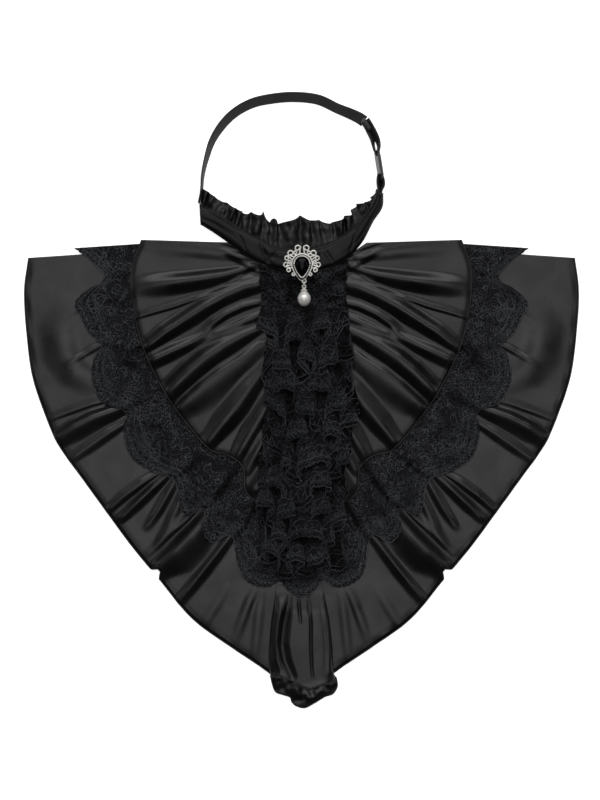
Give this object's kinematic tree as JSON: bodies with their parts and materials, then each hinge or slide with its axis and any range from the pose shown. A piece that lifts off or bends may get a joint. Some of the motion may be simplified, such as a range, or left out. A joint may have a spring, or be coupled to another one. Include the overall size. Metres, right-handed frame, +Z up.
{
  "type": "jabot",
  "caption": "Black satin jabot laid flat: two gathered tiers with a scalloped lace edging, a lace frill cascade, a frilled neck band with an adjustable strap, and a brooch with a pearl drop.",
  "frame": {"origin": "on the surface that the garment lies on, at the middle of its bounding box", "axes": "+Z up, out of the face of the garment; +Y towards the neck strap; +X towards the strap's hook, the picture's right"},
  "size_m": [0.4234, 0.4684, 0.0158],
  "materials": {
    "black_satin": "smooth satin weave, soft sheen",
    "black_lace": "matt corded lace on a fine net",
    "black_ribbon": "matt woven ribbon",
    "black_plastic": "moulded, slightly glossy",
    "aged_silver": "cast silver-coloured alloy, darkened in the hollows",
    "black_stone": "faceted and polished",
    "pearl": "pearl lustre"
  },
  "bodies": {
    "garment": {"bottom_tier": "black_satin", "lace_edging": "black_lace", "upper_tier": "black_satin", "centre_pleat": "black_satin", "lace_fall": "black_lace", "lace_frill_01": "black_lace", "lace_frill_02": "black_lace", "lace_frill_03": "black_lace", "lace_frill_04": "black_lace", "lace_frill_05": "black_lace", "lace_frill_06": "black_lace", "lace_frill_07": "black_lace", "lace_frill_08": "black_lace", "lace_frill_09": "black_lace", "lace_frill_10": "black_lace", "neck_band": "black_satin", "neck_frill": "black_satin", "neck_strap": "black_ribbon", "strap_slider": "black_plastic", "strap_hook": "black_plastic", "strap_loop": "black_ribbon", "band_loop": "black_ribbon", "brooch_filigree": "aged_silver", "brooch_bezel": "aged_silver", "brooch_stone": "black_stone"},
    "link": {"drop_link": "aged_silver"},
    "drop": {"drop_cap": "aged_silver", "drop_pearl": "pearl"}
  },
  "joints": [
    {"name": "drop_lift", "type": "hinge", "parent": "garment", "child": "link", "pos_m": [0.002, 0.0894, 0.0106], "axis": [-1, 0, 0], "range_deg": [0, 110]},
    {"name": "drop_sway", "type": "hinge", "parent": "link", "child": "drop", "pos_m": [0.002, 0.08693, 0.0106], "axis": [0, 0, 1], "range_deg": [-22, 22]}
  ]
}
